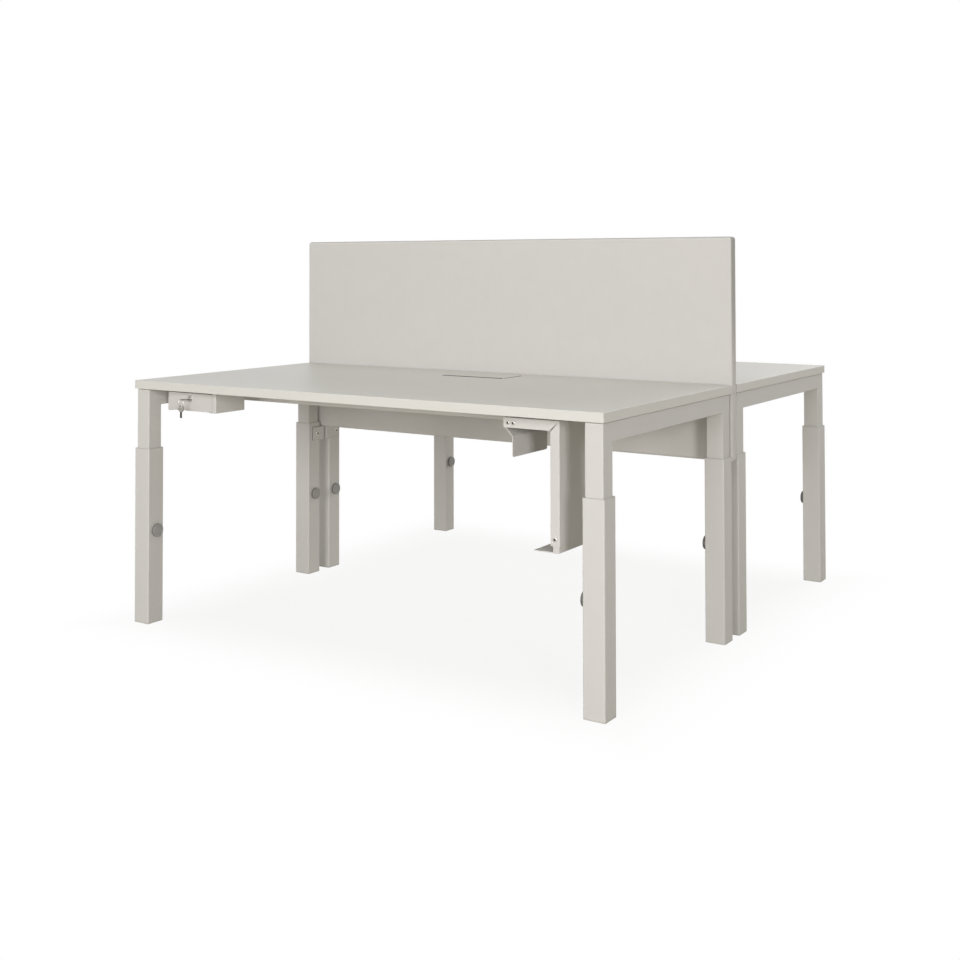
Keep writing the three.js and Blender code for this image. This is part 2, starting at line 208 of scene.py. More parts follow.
# Studio floor and surroundings
FLOOR_HALF = 30.0
FLOOR_TONE = (0.77, 0.75, 0.70, 1)
FLOOR_BOUNCE = (0.70, 0.665, 0.57, 1)
FADE_START = 0.62
FADE_END = 1.05
WHITE_NEAR = 0.875
WORLD_STRENGTH = 0.03
WORLD_TINT = (1.0, 0.95, 0.87, 1)
WHITE = (1, 1, 1, 1)

# Name, place, target, width and height, and power of each soft light
NEAR_DESK = (0, -0.3, 0.6)
BOTH_DESKS = (0, 0, 0.6)
SOFT_LIGHTS = (
    ("front_light", (1.0, -9.5, 2.9), NEAR_DESK, (5.0, 3.6), 302),
    ("left_light", (-4.5, -9.0, 2.9), NEAR_DESK, (5.0, 3.6), 46),
    ("right_light", (8.1, -7.3, 2.6), NEAR_DESK, (2.0, 3.2), 462),
    ("corner_light", (0.4, -3.8, 0.85), (0.5, -0.6, 0.6), (1.0, 0.8), 18),
    ("top_light", (0, -0.6, 4.0), (0, -0.59, 0), (4.0, 4.0), 70),
    ("back_light", (2.5, 4.5, 2.5), BOTH_DESKS, (3.0, 3.0), 75),
    ("rear_light", (0.8, 8.0, 5.0), BOTH_DESKS, (4.0, 2.5), 170),
    ("outer_light", (-8.5, -1.5, 1.4), BOTH_DESKS, (3.0, 1.8), 130),
)

# Camera of the photograph
CAMERA_PLACE = (2.1984, -3.5133, 1.0835)
CAMERA_AZIMUTH = math.radians(32.96)
CAMERA_PITCH = math.radians(1.336)
CAMERA_ROLL = math.radians(-0.109)
CAMERA_LENS = 47.81
CAMERA_SHIFT = -0.2567

# Names that the pieces share
SIDES = ("left", "right")
DESKS = ("near", "far")
ROWS = ("near_outer", "near_inner", "far_inner", "far_outer")
RAILS = ("front", "back")

# Sockets of a Mix node that hold colours, by number because the other kinds share their names
MIX_FIRST = 6
MIX_SECOND = 7
MIX_RESULT = 2


# Nodes
def link(tree, source, output, target, socket):
    """Links one node's output to another's input, each given by its name or number."""
    tree.links.new(source.outputs[output], target.inputs[socket])


def colour_mix(tree):
    """A node that mixes two colours."""
    node = tree.nodes.new("ShaderNodeMix")
    node.data_type = "RGBA"
    return node


def calculation(tree, operation):
    """A node that works on two values."""
    node = tree.nodes.new("ShaderNodeMath")
    node.operation = operation
    return node


def smooth_rise(tree, low, high):
    """A node that rises smoothly from 0 to 1 between two values."""
    node = tree.nodes.new("ShaderNodeMapRange")
    node.interpolation_type = "SMOOTHSTEP"
    node.inputs["From Min"].default_value = low
    node.inputs["From Max"].default_value = high
    return node


def mix_shaders(tree, share, first, second, end):
    """Mixes two shaders by a node's value, and sends the result to an output node."""
    mix = tree.nodes.new("ShaderNodeMixShader")
    link(tree, share, "Value", mix, 0)
    link(tree, first, 0, mix, 1)
    link(tree, second, 0, mix, 2)
    link(tree, mix, "Shader", end, "Surface")


def new_material(name):
    """A material with its node tree and its Principled shader."""
    material = bpy.data.materials.new(name)
    material.use_nodes = True
    tree = material.node_tree
    return material, tree, tree.nodes["Principled BSDF"]


# Shared effects of the finishes
def group_with(name, inputs, outputs):
    """A shader node group with its sockets, and its two end nodes."""
    group = bpy.data.node_groups.new(name, "ShaderNodeTree")
    for socket, kind in inputs:
        group.interface.new_socket(socket, in_out="INPUT", socket_type=kind)
    for socket, kind in outputs:
        group.interface.new_socket(socket, in_out="OUTPUT", socket_type=kind)
    start = group.nodes.new("NodeGroupInput")
    end = group.nodes.new("NodeGroupOutput")
    return group, start, end


def noise(group, start, detail):
    """A noise pattern on a group's own vector."""
    node = group.nodes.new("ShaderNodeTexNoise")
    node.inputs["Detail"].default_value = detail
    link(group, start, "Vector", node, "Vector")
    return node


def tone_by(group, start, first, output, second, share):
    """Mixes a group's light and dark colours by two patterns, where share is the second one's part."""
    blend = group.nodes.new("ShaderNodeMix")
    blend.inputs["Factor"].default_value = share
    link(group, first, output, blend, "A")
    link(group, second, "Fac", blend, "B")
    tone = colour_mix(group)
    link(group, blend, "Result", tone, "Factor")
    link(group, start, "Light", tone, MIX_FIRST)
    link(group, start, "Dark", tone, MIX_SECOND)
    return tone


def coat_group():
    """Fine grain and slow drift of tone that powder coat, melamine, moulded nylon and metal share."""
    group, start, end = group_with(
        "coat_grain",
        (("Vector", "NodeSocketVector"), ("Grain", "NodeSocketFloat"), ("Drift", "NodeSocketFloat"),
         ("Light", "NodeSocketColor"), ("Dark", "NodeSocketColor"),
         ("Smooth", "NodeSocketFloat"), ("Rough", "NodeSocketFloat")),
        (("Color", "NodeSocketColor"), ("Roughness", "NodeSocketFloat"), ("Height", "NodeSocketFloat")))
    grain = noise(group, start, GRAIN_DETAIL)
    link(group, start, "Grain", grain, "Scale")
    drift = noise(group, start, DRIFT_DETAIL)
    link(group, start, "Drift", drift, "Scale")
    tone = tone_by(group, start, grain, "Fac", drift, DRIFT_SHARE)
    gloss = group.nodes.new("ShaderNodeMapRange")
    link(group, grain, "Fac", gloss, "Value")
    link(group, start, "Smooth", gloss, "To Min")
    link(group, start, "Rough", gloss, "To Max")
    link(group, tone, MIX_RESULT, end, "Color")
    link(group, gloss, "Result", end, "Roughness")
    link(group, grain, "Fac", end, "Height")
    return group


def cloth_group():
    """A plain weave of crossing threads with a soft mottle, for the stretched cloths of the screen."""
    group, start, end = group_with(
        "plain_weave",
        (("Vector", "NodeSocketVector"), ("Threads", "NodeSocketFloat"),
         ("Light", "NodeSocketColor"), ("Dark", "NodeSocketColor")),
        (("Color", "NodeSocketColor"), ("Height", "NodeSocketFloat")))
    weave = calculation(group, "MULTIPLY")
    for number, direction in enumerate(("X", "Z")):
        thread = group.nodes.new("ShaderNodeTexWave")
        thread.bands_direction = direction
        thread.inputs["Distortion"].default_value = THREAD_WOBBLE
        thread.inputs["Detail"].default_value = THREAD_DETAIL
        link(group, start, "Vector", thread, "Vector")
        link(group, start, "Threads", thread, "Scale")
        link(group, thread, "Fac", weave, number)
    mottle = noise(group, start, MOTTLE_DETAIL)
    mottle.inputs["Scale"].default_value = MOTTLE_SCALE
    tone = tone_by(group, start, weave, "Value", mottle, MOTTLE_SHARE)
    link(group, tone, MIX_RESULT, end, "Color")
    link(group, weave, "Value", end, "Height")
    return group


COAT_GRAIN = coat_group()
PLAIN_WEAVE = cloth_group()


# Finishes
def finish_from(name, group, values, bump, strength, **constants):
    """A Principled material whose colour, gloss and bump come from one node group."""
    material, tree, shader = new_material(name)
    place = tree.nodes.new("ShaderNodeTexCoord")
    effect = tree.nodes.new("ShaderNodeGroup")
    effect.node_tree = group
    link(tree, place, "Object", effect, "Vector")
    for socket, value in values.items():
        effect.inputs[socket].default_value = value
    link(tree, effect, "Color", shader, "Base Color")
    if "Roughness" in effect.outputs:
        link(tree, effect, "Roughness", shader, "Roughness")
    relief = tree.nodes.new("ShaderNodeBump")
    relief.inputs["Distance"].default_value = bump
    relief.inputs["Strength"].default_value = strength
    link(tree, effect, "Height", relief, "Height")
    link(tree, relief, "Normal", shader, "Normal")
    for socket, value in constants.items():
        shader.inputs[socket.replace("_", " ")].default_value = value
    return material


def coat(name, light, dark, smooth, rough, grain, bump, strength, **constants):
    """A coated, moulded or plated finish."""
    values = {"Grain": grain, "Drift": DRIFT_SCALE, "Light": (*light, 1), "Dark": (*dark, 1),
              "Smooth": smooth, "Rough": rough}
    return finish_from(name, COAT_GRAIN, values, bump, strength, **constants)


def cloth(name, light, dark, threads, bump, rough, sheen):
    """A woven finish with a faint sheen."""
    values = {"Threads": threads, "Light": (*light, 1), "Dark": (*dark, 1)}
    return finish_from(name, PLAIN_WEAVE, values, bump, WEAVE_BUMP, Roughness=rough, Sheen_Weight=sheen,
                       Sheen_Roughness=SHEEN_ROUGHNESS)


def paint_shading_by_height(material, painted_foot_light, low, high):
    """Paints light and shade by height, letting a material's colour pass into a foot tone from the upper
    height down to the lower one.
    """
    tree = material.node_tree
    shader = tree.nodes["Principled BSDF"]
    painted_shade_tone = shader.inputs["Base Color"].links[0].from_socket
    place = tree.nodes.new("ShaderNodeTexCoord")
    parts = tree.nodes.new("ShaderNodeSeparateXYZ")
    link(tree, place, "Object", parts, "Vector")
    height = smooth_rise(tree, low, high)
    link(tree, parts, "Z", height, "Value")
    tone = colour_mix(tree)
    link(tree, height, "Result", tone, "Factor")
    tone.inputs[MIX_FIRST].default_value = painted_foot_light
    tree.links.new(painted_shade_tone, tone.inputs[MIX_SECOND])
    link(tree, tone, MIX_RESULT, shader, "Base Color")


POWDER_COAT = coat("greige_powder_coat", light=(0.60, 0.585, 0.563), dark=(0.555, 0.54, 0.518),
                   smooth=0.42, rough=0.58, grain=1400, bump=0.0002, strength=0.18)
MELAMINE = coat("greige_melamine", light=(0.595, 0.58, 0.535), dark=(0.56, 0.545, 0.50),
                smooth=0.34, rough=0.44, grain=700, bump=0.0001, strength=0.10)
# The edge band is a little lighter than the board: partly its own tone, partly painted light for the front
# edge that faces the lamps
EDGE_BAND = coat("greige_edge_band", light=(0.64, 0.625, 0.59), dark=(0.61, 0.595, 0.56),
                 smooth=0.38, rough=0.48, grain=1100, bump=0.0001, strength=0.10)
PALE_NYLON = coat("pale_nylon", light=(0.53, 0.515, 0.485), dark=(0.49, 0.475, 0.445),
                  smooth=0.5, rough=0.62, grain=1800, bump=0.0002, strength=0.2)
GREY_NYLON = coat("grey_nylon", light=(0.335, 0.326, 0.314), dark=(0.297, 0.287, 0.278),
                  smooth=0.48, rough=0.62, grain=1800, bump=0.0002, strength=0.25)
DARK_NYLON = coat("dark_nylon", light=(0.175, 0.17, 0.163), dark=(0.15, 0.145, 0.139),
                  smooth=0.5, rough=0.65, grain=1800, bump=0.0002, strength=0.25)
# Black nylon of the flap brush; on the seam strips, bracket pads, holder mount plate and the strip beside the
# flap lid it is painted shade
BLACK_NYLON_AND_PAINTED_SHADE = coat("black_nylon_and_painted_shade", light=(0.045, 0.044, 0.042), dark=(0.03, 0.029, 0.028),
                   smooth=0.6, rough=0.75, grain=2500, bump=0.0001, strength=0.2)
NICKEL = coat("nickel", light=(0.80, 0.785, 0.755), dark=(0.72, 0.705, 0.675),
              smooth=0.22, rough=0.34, grain=2500, bump=0.00005, strength=0.15, Metallic=1.0)
# Dark steel of the spare key's blade; in screw sockets and on the keys' sides it is painted shade
DARK_STEEL_AND_PAINTED_SHADE = coat("dark_steel_and_painted_shade", light=(0.10, 0.097, 0.092), dark=(0.07, 0.068, 0.064),
                  smooth=0.34, rough=0.48, grain=2500, bump=0.00005, strength=0.15, Metallic=1.0)
SCREEN_CLOTH = cloth("screen_cloth", light=(0.593, 0.574, 0.549), dark=(0.542, 0.524, 0.502),
                     threads=380, bump=0.0004, rough=0.92, sheen=0.15)
# The border's darker colour is painted shade on the screen's edges, and lower down it passes into a lighter
# painted foot tone.
SCREEN_PAINTED_SHADE_BORDER = cloth("screen_border_painted_shade", light=(0.395, 0.381, 0.358), dark=(0.352, 0.338, 0.315),
                      threads=520, bump=0.0003, rough=0.9, sheen=0.1)
paint_shading_by_height(SCREEN_PAINTED_SHADE_BORDER, PAINTED_BOUNCE_FOOT_TONE, PAINTED_SHADE_FADE_LOW, PAINTED_SHADE_FADE_HIGH)


# Finding edges and faces
def edges_along(bm, axis):
    """The edges that run along an axis."""
    return [edge for edge in bm.edges
            if abs((edge.verts[1].co - edge.verts[0].co).normalized()[axis]) > ALIGNED]


def at(edges, axis, value):
    """The edges that lie in one plane across an axis."""
    return [edge for edge in edges if all(abs(vert.co[axis] - value) < TINY for vert in edge.verts)]


def faces_towards(bm, axis, sign):
    """The faces that look along an axis, or against it."""
    bm.normal_update()
    return [face for face in bm.faces if sign * face.normal[axis] > ALIGNED]


def edges_of(faces):
    """The edges round some faces, each of them once."""
    return list({edge for face in faces for edge in face.edges})


def folds(bm):
    """The edges where a sheet is bent."""
    bm.normal_update()
    return [edge for edge in bm.edges if len(edge.link_faces) == 2 and edge.calc_face_angle() > FOLD_ANGLE]


def new_verts(result):
    """The vertices that an extrusion made."""
    return [item for item in result["geom"] if isinstance(item, bmesh.types.BMVert)]


# Blocks and tubes
def add_block(bm, low, high):
    """Adds a plain block between two corners to a bmesh."""
    low = Vector(low)
    high = Vector(high)
    verts = bmesh.ops.create_cube(bm, size=1)["verts"]
    bmesh.ops.scale(bm, vec=high - low, verts=verts)
    bmesh.ops.translate(bm, vec=(low + high) / 2, verts=verts)


def block(low, high):
    """A plain block between two corners."""
    bm = bmesh.new()
    add_block(bm, low, high)
    return bm


def round_edges(bm, edges, radius, segments=BEND_STEPS):
    """Rounds some edges of a bmesh."""
    bmesh.ops.bevel(bm, geom=edges, offset=radius, offset_type="OFFSET", segments=segments, profile=0.5,
                    affect="EDGES", material=-1, clamp_overlap=True)


def softened_block(low, high, radius, segments=FINE_STEPS):
    """A block with all its edges rounded."""
    bm = block(low, high)
    round_edges(bm, bm.edges[:], radius, segments)
    return bm


def thicken(bm, thickness):
    """Gives an open sheet its thickness on the inner side."""
    bmesh.ops.solidify(bm, geom=bm.faces[:], thickness=thickness)


def square_tube(low, high, axis, corner, wall):
    """A hollow tube with rounded corners, open at both ends, that runs along one axis."""
    bm = block(low, high)
    ends = faces_towards(bm, axis, 1) + faces_towards(bm, axis, -1)
    bmesh.ops.delete(bm, geom=ends, context="FACES_ONLY")
    round_edges(bm, edges_along(bm, axis), corner)
    thicken(bm, wall)
    return bm


# Folded sheets
def folded_sheet(path, run):
    """A sheet that follows a path of corners and runs on by one vector, still without thickness."""
    bm = bmesh.new()
    corners = [bm.verts.new(point) for point in path]
    steps = [bm.edges.new(pair) for pair in zip(corners, corners[1:])]
    far_side = new_verts(bmesh.ops.extrude_edge_only(bm, edges=steps))
    bmesh.ops.translate(bm, vec=run, verts=far_side)
    return bm


def add_flange(bm, edges, reach):
    """Folds a flange out of some edges of a sheet, and gives back its new corners."""
    corners = new_verts(bmesh.ops.extrude_edge_only(bm, edges=edges))
    bmesh.ops.translate(bm, vec=reach, verts=corners)
    return corners


def finish_sheet(bm, bend, thickness, inside):
    """Rounds a sheet's folds and gives it its thickness on the side where the point inside lies."""
    bmesh.ops.recalc_face_normals(bm, faces=bm.faces)
    largest = max(bm.faces, key=lambda face: face.calc_area())
    if largest.normal.dot(Vector(inside) - largest.calc_center_median()) > 0:
        bmesh.ops.reverse_faces(bm, faces=bm.faces)
    round_edges(bm, folds(bm), bend)
    thicken(bm, thickness)


# Turned shapes
def outward(bm):
    """Merges a bmesh's doubles and turns its faces to the outside."""
    bmesh.ops.remove_doubles(bm, verts=bm.verts, dist=MERGE_DISTANCE)
    bmesh.ops.recalc_face_normals(bm, faces=bm.faces)
    return bm


def spun(profile, steps):
    """A closed turned shape round the Z axis, its profile given as radius and height."""
    bm = bmesh.new()
    corners = [bm.verts.new((radius, 0, height)) for radius, height in profile]
    steps_along = [bm.edges.new(pair) for pair in zip(corners, corners[1:])]
    bmesh.ops.spin(bm, geom=corners + steps_along, axis=(0, 0, 1), cent=(0, 0, 0), angle=2 * math.pi,
                   steps=steps, use_merge=True)
    return outward(bm)


def arc(across, along, radius, start, end, steps):
    """Points on an arc round a centre, from one angle to another in degrees."""
    angles = [math.radians(start + (end - start) * step / steps) for step in range(steps + 1)]
    return [(across + radius * math.cos(angle), along + radius * math.sin(angle)) for angle in angles]


def set_at(bm, place, turn):
    """Turns a shape that was made at the origin, and moves it to its place."""
    bmesh.ops.rotate(bm, cent=(0, 0, 0), matrix=turn.to_matrix(), verts=bm.verts)
    bmesh.ops.translate(bm, vec=place, verts=bm.verts)


# Finished pieces
def joined(*parts):
    """One bmesh out of several."""
    whole = bmesh.new()
    for part in parts:
        carrier = bpy.data.meshes.new("carrier")
        part.to_mesh(carrier)
        part.free()
        whole.from_mesh(carrier)
        bpy.data.meshes.remove(carrier)
    return whole


def piece(name, bm, materials, body, slot, *nodes):
    """Finishes a bmesh as an object that rides on its body and stands for its CAD nodes."""
    mesh = bpy.data.meshes.new(name)
    bm.to_mesh(mesh)
    bm.free()
    mesh.shade_smooth()
    mesh.set_sharp_from_angle(angle=SMOOTH_ANGLE)
    for material in materials:
        mesh.materials.append(material)
    obj = bpy.data.objects.new(name, mesh)
    bpy.context.scene.collection.objects.link(obj)
    shading = obj.modifiers.new("even_shading", "WEIGHTED_NORMAL")
    shading.keep_sharp = True
    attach(obj, body)
    if nodes:
        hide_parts(*nodes)
    return obj


# Legs
def leg_tube(place):
    """The lower tube of a leg, open at both ends."""
    node = f"lower_leg_{place}"
    low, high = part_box(node)
    bm = square_tube(low, high, Z, LEG_CORNER, LEG_WALL)
    piece(f"leg_tube_{place}", bm, [POWDER_COAT], "base", "powder_coat", node)


def foot_cap(place):
    """A tread as wide as the tube, with a plug that goes up into it."""
    node = f"foot_{place}"
    low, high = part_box(node)
    tread_top = low.z + TREAD_HEIGHT
    bm = block(low, (high.x, high.y, tread_top))
    round_edges(bm, edges_along(bm, Z), LEG_CORNER)
    round_edges(bm, edges_of(faces_towards(bm, Z, -1)), TREAD_EDGE, FINE_STEPS)
    top = faces_towards(bm, Z, 1)
    bmesh.ops.inset_region(bm, faces=top, thickness=PLUG_INSET, use_even_offset=True)
    plug = new_verts(bmesh.ops.extrude_face_region(bm, geom=top))
    bmesh.ops.delete(bm, geom=top, context="FACES_ONLY")
    bmesh.ops.translate(bm, vec=(0, 0, high.z - tread_top), verts=plug)
    piece(f"foot_cap_{place}", outward(bm), [PALE_NYLON], "base", "pale_nylon", node)


def bush_sleeve(place):
    """A sleeve inside the tube's mouth, with a rim that lies on its end."""
    node = f"guide_bush_{place}"
    low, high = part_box(node)
    step = Vector((PLUG_INSET, PLUG_INSET, 0))
    sleeve = square_tube(low + step, high - step, Z, LEG_CORNER - LEG_WALL, BUSH_WALL)
    rim = square_tube((low.x, low.y, high.z - RIM_HEIGHT), high, Z, LEG_CORNER, PLUG_INSET)
    middle = (low + high) / 2
    reach = (high.x - low.x) / 2 - LEG_CORNER
    outer_edge = [edge for edge in at(rim.edges, Z, high.z)
                  if max(abs(vert.co[axis] - middle[axis]) for vert in edge.verts for axis in (X, Y)) > reach]
    round_edges(rim, outer_edge, RIM_EDGE, FINE_STEPS)
    piece(f"bush_sleeve_{place}", joined(sleeve, rim), [PALE_NYLON], "base", "pale_nylon", node)


def grip_profile(length, radius, leg_face):
    """Radius and height along a knob: its stud, boss, rounded rim, sunk ring and centre disc."""
    back = length - GRIP_DEPTH
    ring = radius - GRIP_RIM
    disc = ring - GRIP_RING
    profile = [(0, 0), (STUD_RADIUS, 0), (STUD_RADIUS, leg_face), (GRIP_BOSS_RADIUS, leg_face),
               (GRIP_BOSS_RADIUS, back)]
    profile += arc(radius - GRIP_EDGE, back + GRIP_EDGE, GRIP_EDGE, -90, 0, BEND_STEPS)
    profile += arc(radius - GRIP_EDGE, length - GRIP_EDGE, GRIP_EDGE, 0, 90, BEND_STEPS)
    profile += [(ring, length), (ring - GRIP_SUNK, length - GRIP_SUNK), (disc, length - GRIP_SUNK)]
    profile += arc(disc - GRIP_SUNK, length - GRIP_SUNK, GRIP_SUNK, 0, 90, BEND_STEPS)
    profile += [(0, length)]
    return profile


def cut_flutes(bm, radius):
    """Draws a knob's rim in by shallow flutes all round."""
    for vert in bm.verts:
        reach = vert.co.xy.length
        if reach > radius - GRIP_EDGE - TINY:
            angle = math.atan2(vert.co.y, vert.co.x)
            depth = GRIP_FLUTE_DEPTH * (1 - math.cos(GRIP_FLUTES * angle)) / 2
            vert.co.xy *= (reach - depth) / reach


def clamp_grip(place, side):
    """A knob with a darker fluted rim, on a stud that goes into the leg."""
    node = f"clamp_knob_{place}"
    low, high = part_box(node)
    leg_low, leg_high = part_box(f"lower_leg_{place}")
    on_left = side == "left"
    length = high.x - low.x
    proud = high.x - leg_high.x if on_left else leg_low.x - low.x
    radius = (high.z - low.z) / 2
    profile = grip_profile(length, radius, length - proud + GRIP_AIR)
    bm = spun(profile, GRIP_FLUTES * GRIP_FLUTE_STEPS)
    cut_flutes(bm, radius)
    bm.normal_update()
    for face in bm.faces:
        on_rim = face.calc_center_median().xy.length > radius - GRIP_RIM
        face.material_index = int(on_rim and abs(face.normal.z) < SIDE_LEAN)
    place_in_leg = (low + high) / 2
    place_in_leg.x = low.x if on_left else high.x
    set_at(bm, place_in_leg, Euler((0, QUARTER_TURN if on_left else -QUARTER_TURN, 0)))
    piece(f"clamp_grip_{place}", bm, [GREY_NYLON, DARK_NYLON], f"knob_{place}", "grey_nylon", node)


for side in SIDES:
    for row in ROWS:
        leg_tube(f"{row}_{side}")
        foot_cap(f"{row}_{side}")
        bush_sleeve(f"{row}_{side}")
        clamp_grip(f"{row}_{side}", side)


# Screen
def screen_cover():
    """Cloth on the two faces, with a darker border all round the edge that paints the shade on it."""
    low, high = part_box("screen_panel")
    bm = softened_block(low, high, SCREEN_EDGE, SCREEN_EDGE_STEPS)
    bm.normal_update()
    for face in bm.faces:
        # Faces that turn away from the front take the border's painted shade.
        face.material_index = int(abs(face.normal.y) < PAINTED_SHADE_BORDER_TURN)
    cover = piece("screen_cover", bm, [SCREEN_CLOTH, SCREEN_PAINTED_SHADE_BORDER], "base", "screen_cloth", "screen_panel")


screen_cover()


# Worktops
def cut_out(bm, low, high):
    """Cuts an upright hole with its own walls through a board."""
    for axis in (X, Y):
        normal = Vector((0, 0, 0))
        normal[axis] = 1
        for place in (low, high):
            bmesh.ops.bisect_plane(bm, geom=bm.verts[:] + bm.edges[:] + bm.faces[:], plane_co=place,
                                   plane_no=normal)
    middle = (low + high) / 2
    half = (high - low) / 2
    lids = [face for face in faces_towards(bm, Z, 1) + faces_towards(bm, Z, -1)
            if abs(face.calc_center_median().x - middle.x) < half.x
            and abs(face.calc_center_median().y - middle.y) < half.y]
    rim = edges_of(lids)
    bmesh.ops.delete(bm, geom=lids, context="FACES_ONLY")
    bmesh.ops.bridge_loops(bm, edges=rim)


def worktop_board(desk):
    """A board with an edge band all round, and the cut-out for its cable flap."""
    node = f"worktop_{desk}"
    low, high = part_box(node)
    bm = block(low, high)
    round_edges(bm, edges_along(bm, Z), BOARD_CORNER, EDGE_STEPS)
    rims = edges_of(faces_towards(bm, Z, 1)) + edges_of(faces_towards(bm, Z, -1))
    round_edges(bm, rims, BOARD_EDGE, EDGE_STEPS)
    cut_out(bm, *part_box(f"flap_frame_{desk}"))
    outward(bm)
    middle = (low + high) / 2
    half = (high - low) / 2
    for face in bm.faces:
        offset = face.calc_center_median() - middle
        from_edge = min(half.x - abs(offset.x), half.y - abs(offset.y))
        face.material_index = int(from_edge < BOARD_CORNER)
    piece(f"worktop_board_{desk}", bm, [MELAMINE, EDGE_BAND], f"{desk}_desk", "melamine_board", node)


# Cable flaps
def slot_in_front(desk):
    """Whether the cable slot lies on the front side of a flap's lid, where the frame leaves more room."""
    low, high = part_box(f"flap_lid_{desk}")
    rim_low, rim_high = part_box(f"flap_frame_{desk}")
    return low.y - rim_low.y > rim_high.y - high.y


def flap_leaf(desk):
    """The lid of a cable flap."""
    node = f"flap_lid_{desk}"
    low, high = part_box(node)
    bm = softened_block(low, high, LID_EDGE, EDGE_STEPS)
    piece(f"flap_leaf_{desk}", bm, [MELAMINE], f"{desk}_flap", "melamine_board", node)


def flap_rim(desk):
    """The frame in the board's cut-out, with the ledges that the lid lies on."""
    node = f"flap_frame_{desk}"
    low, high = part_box(node)
    ledge_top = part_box(f"flap_lid_{desk}")[0].z
    wall = square_tube(low, high, Z, FRAME_CORNER, FRAME_WALL)
    round_edges(wall, at(folds(wall), Z, high.z), FRAME_EDGE, FINE_STEPS)
    inner_low = low + Vector((FRAME_WALL, FRAME_WALL, 0))
    inner_high = Vector((high.x - FRAME_WALL, high.y - FRAME_WALL, ledge_top))
    hinge_y = inner_high.y - FRAME_LEDGE if slot_in_front(desk) else inner_low.y
    ledges = [(inner_low, (inner_low.x + FRAME_LEDGE, inner_high.y, ledge_top)),
              ((inner_high.x - FRAME_LEDGE, inner_low.y, low.z), inner_high),
              ((inner_low.x, hinge_y, low.z), (inner_high.x, hinge_y + FRAME_LEDGE, ledge_top))]
    parts = [softened_block(start, end, FRAME_EDGE) for start, end in ledges]
    piece(f"flap_rim_{desk}", joined(wall, *parts), [POWDER_COAT], f"{desk}_desk", "powder_coat", node)


def bristles(start, end, across, top):
    """Rows of fine bristles from start to end, each running across a slot just under its top."""
    bm = bmesh.new()
    half = BRISTLE_WIDTH / 2
    for number in range(int((end - start) / BRISTLE_PITCH)):
        x = start + (number + 0.5) * BRISTLE_PITCH
        for row in range(1, BRISTLE_ROWS + 1):
            z = top - BRISTLE_WIDTH * (row - BRISTLE_UNEVEN * math.sin(number * row))
            add_block(bm, (x - half, across[0], z - half), (x + half, across[1], z + half))
    return bm


def flap_brush(desk):
    """Bristles on the lid's free edge that reach across the cable slot, and a dark strip along one side that
    paints the shade in the gap there.
    """
    low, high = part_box(f"flap_lid_{desk}")
    rim_low, rim_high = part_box(f"flap_frame_{desk}")
    in_front = slot_in_front(desk)
    way = -1 if in_front else 1
    root = low.y if in_front else high.y
    slot_end = rim_low.y + FRAME_WALL if in_front else rim_high.y - FRAME_WALL
    bar_end = root + way * BRUSH_BAR
    top = high.z + BRUSH_PROUD
    bar_low = top - BRUSH_BAR_HEIGHT
    bar_y = sorted((root, bar_end))
    start = low.x + BRUSH_END
    end = high.x - BRUSH_END
    bar = softened_block((start, bar_y[0], bar_low), (end, bar_y[1], top), FRAME_EDGE)
    # The dark strip beside the lid is painted shade for the gap there.
    gap_shade_x = (high.x, high.x + GAP_SHADE_WIDTH) if in_front else (low.x - GAP_SHADE_WIDTH, low.x)
    gap_shade = block((gap_shade_x[0], low.y, bar_low), (gap_shade_x[1], high.y, top))
    hairs = bristles(start, end, sorted((bar_end, slot_end - way * BRISTLE_AIR)), top)
    piece(f"flap_brush_{desk}", joined(bar, gap_shade, hairs), [BLACK_NYLON_AND_PAINTED_SHADE], f"{desk}_flap", "grey_nylon")


# Portals and rails
def painted_shade_strip(desk, side):
    """A thin dark strip between a portal and its worktop, painted shade for the seam there."""
    low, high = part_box(f"portal_{desk}_{side}")
    start = (low.x + SHADE_STRIP_INSET, low.y + SHADE_STRIP_INSET, high.z - SHADE_STRIP_HEIGHT)
    end = (high.x - SHADE_STRIP_INSET, high.y - SHADE_STRIP_INSET, high.z)
    strip = softened_block(start, end, SHADE_STRIP_EDGE)
    piece(f"painted_shade_strip_{desk}_{side}", strip, [BLACK_NYLON_AND_PAINTED_SHADE], f"{desk}_desk", "grey_nylon")


def tube_ends(bm, height):
    """The faces that close a portal's tubes at their lower ends."""
    return [face for face in faces_towards(bm, Z, -1) if face.calc_center_median().z < height + TINY]


